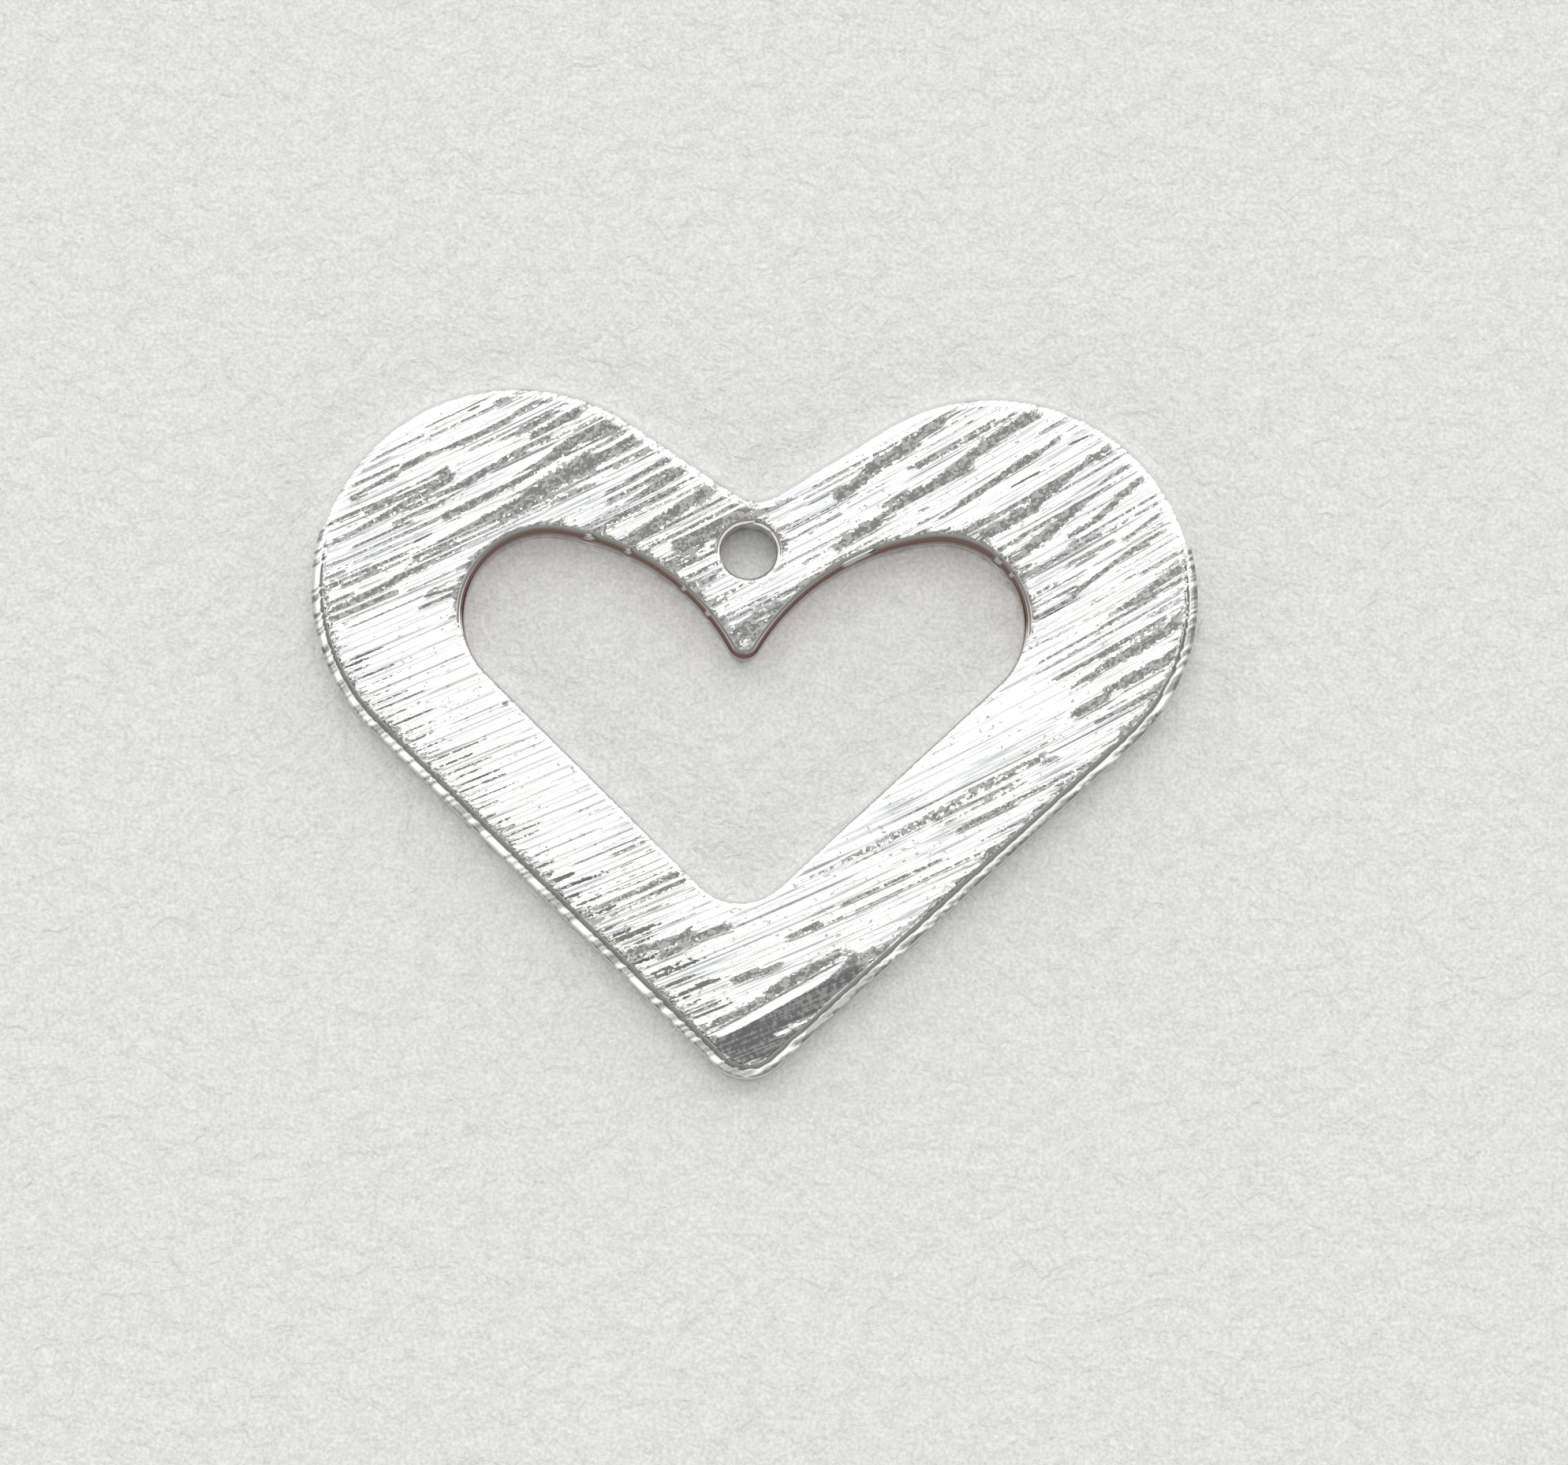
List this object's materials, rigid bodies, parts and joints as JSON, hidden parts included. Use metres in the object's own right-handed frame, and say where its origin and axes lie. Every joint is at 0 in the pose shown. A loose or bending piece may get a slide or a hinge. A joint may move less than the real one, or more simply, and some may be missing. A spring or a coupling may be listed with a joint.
{
  "type": "heart charm",
  "caption": "Flat heart charm punched from brushed sheet metal, with a heart-shaped window and a ring hole under the notch.",
  "frame": {"origin": "middle of the plate's width and height, in its back face", "axes": "+X to the right lobe, +Y up the heart to the notch and ring hole, +Z out of the brushed face"},
  "size_m": [0.0238, 0.0186, 0.0009],
  "materials": {
    "silver_plate": "silver-plated brass sheet, face brushed in coarse diagonal strokes, edges tumbled smooth"
  },
  "bodies": {
    "root": {"heart_plate": "silver_plate"}
  },
  "joints": []
}
